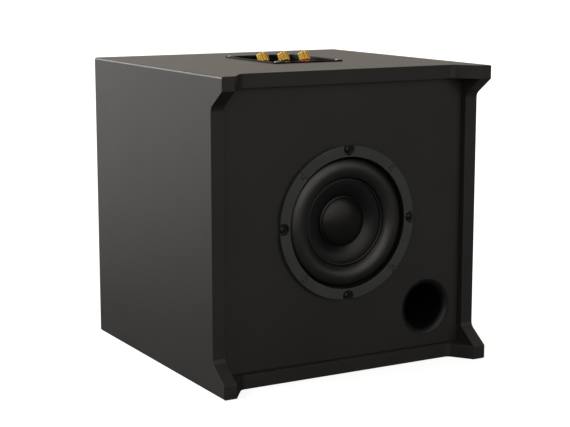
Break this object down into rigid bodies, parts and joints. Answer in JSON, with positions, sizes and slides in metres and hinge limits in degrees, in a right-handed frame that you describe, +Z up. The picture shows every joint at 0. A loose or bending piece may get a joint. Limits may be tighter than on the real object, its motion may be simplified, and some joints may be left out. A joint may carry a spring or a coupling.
{
  "type": "subwoofer",
  "caption": "Compact passive ported subwoofer cube with a recessed down-firing driver, corner legs and a terminal cup with gold binding posts.",
  "frame": {"origin": "middle of the wall that the cabinet lies on, at floor level", "axes": "+Z up as it lies on its side panel, -Y out of the driver and along the legs, +X to the right when facing the driver"},
  "size_m": [0.33, 0.33, 0.3396],
  "materials": {
    "cabinet_paint": "satin dark charcoal lacquer over MDF",
    "wadding": "white polyester wadding",
    "pressed_frame": "black powder coat",
    "gasket_foam": "matt dark grey rubber",
    "surround_rubber": "matt black rubber",
    "cone_paper": "matt black coated cone",
    "dust_cap_paper": "matt black coated dome",
    "former_paper": "brown phenolic paper",
    "copper": "enamelled copper wire",
    "spider_cloth": "resin-dipped cotton cloth",
    "motor_steel": "zinc plated mild steel",
    "ferrite": "ground ceramic ferrite",
    "tinned_steel": "bright zinc",
    "black_screw": "black oxide",
    "black_plastic": "moulded black ABS",
    "gold_plate": "polished gold plate over brass",
    "red_band": "red ring",
    "black_band": "black ring",
    "red_wire": "red PVC sleeve",
    "black_wire": "black PVC sleeve",
    "board": "bare MDF",
    "film_capacitor": "yellow film wrap"
  },
  "bodies": {
    "root": {"left_panel": "cabinet_paint", "right_panel": "cabinet_paint", "top_panel": "cabinet_paint", "bottom_panel": "cabinet_paint", "rear_panel": "cabinet_paint", "front_baffle": "cabinet_paint", "damping_wadding": "wadding", "basket": "pressed_frame", "gasket_segment_1": "gasket_foam", "gasket_segment_2": "gasket_foam", "gasket_segment_3": "gasket_foam", "gasket_segment_4": "gasket_foam", "surround": "surround_rubber", "driver_terminal_strip": "former_paper", "choke_winding": "copper", "tinsel_lead_1": "copper", "tinsel_lead_2": "copper", "spider": "spider_cloth", "top_plate": "motor_steel", "yoke": "motor_steel", "magnet": "ferrite", "driver_tab_1": "tinned_steel", "driver_tab_2": "tinned_steel", "post_lug_1": "tinned_steel", "post_nut_1": "tinned_steel", "post_lug_2": "tinned_steel", "post_nut_2": "tinned_steel", "post_lug_3": "tinned_steel", "post_nut_3": "tinned_steel", "cup_screw_1": "tinned_steel", "cup_screw_2": "tinned_steel", "cup_screw_3": "tinned_steel", "cup_screw_4": "tinned_steel", "driver_screw_1": "black_screw", "driver_screw_2": "black_screw", "driver_screw_3": "black_screw", "driver_screw_4": "black_screw", "port_tube": "black_plastic", "terminal_cup": "black_plastic", "choke_bobbin": "black_plastic", "post_stud_1": "gold_plate", "post_stud_2": "gold_plate", "post_stud_3": "gold_plate", "post_wire_1": "red_wire", "post_wire_3": "red_wire", "driver_wire_2": "red_wire", "post_wire_2": "black_wire", "driver_wire_1": "black_wire", "crossover_board": "board", "crossover_capacitor": "film_capacitor"},
    "cone_assembly": {"cone": "cone_paper", "dust_cap": "dust_cap_paper", "voice_coil_former": "former_paper", "voice_coil": "copper"},
    "post_1_band": {"post_ring_1": "red_band"},
    "post_1_cap": {"post_cap_1": "gold_plate"},
    "post_2_band": {"post_ring_2": "black_band"},
    "post_2_cap": {"post_cap_2": "gold_plate"},
    "post_3_band": {"post_ring_3": "red_band"},
    "post_3_cap": {"post_cap_3": "gold_plate"}
  },
  "joints": [
    {"name": "cone_travel", "type": "slide", "parent": "root", "child": "cone_assembly", "axis": [0, -1, 0], "range_m": [-0.006, 0.006], "stiffness_N_per_m": 1200, "deforming": ["surround", "spider", "tinsel_lead_1", "tinsel_lead_2"]},
    {"name": "post_1_lift", "type": "slide", "parent": "root", "child": "post_1_band", "axis": [0, 0.4695, 0.8829], "range_m": [0, 0.0035]},
    {"name": "post_1_unscrew", "type": "hinge", "parent": "post_1_band", "child": "post_1_cap", "pos_m": [-0.0163, 0.0176, 0.32117], "axis": [0, 0.4695, 0.8829], "range_deg": [0, 1260]},
    {"name": "post_2_lift", "type": "slide", "parent": "root", "child": "post_2_band", "axis": [0, 0.4695, 0.8829], "range_m": [0, 0.0035]},
    {"name": "post_2_unscrew", "type": "hinge", "parent": "post_2_band", "child": "post_2_cap", "pos_m": [0.011, 0.0176, 0.32117], "axis": [0, 0.4695, 0.8829], "range_deg": [0, 1260]},
    {"name": "post_3_lift", "type": "slide", "parent": "root", "child": "post_3_band", "axis": [0, 0.4695, 0.8829], "range_m": [0, 0.0035]},
    {"name": "post_3_unscrew", "type": "hinge", "parent": "post_3_band", "child": "post_3_cap", "pos_m": [0.0383, 0.0176, 0.32117], "axis": [0, 0.4695, 0.8829], "range_deg": [0, 1260]}
  ],
  "couplings": [
    {"joint": "post_1_unscrew", "follows": "post_1_lift", "rad_per_m": 6283.2},
    {"joint": "post_2_unscrew", "follows": "post_2_lift", "rad_per_m": 6283.2},
    {"joint": "post_3_unscrew", "follows": "post_3_lift", "rad_per_m": 6283.2}
  ]
}
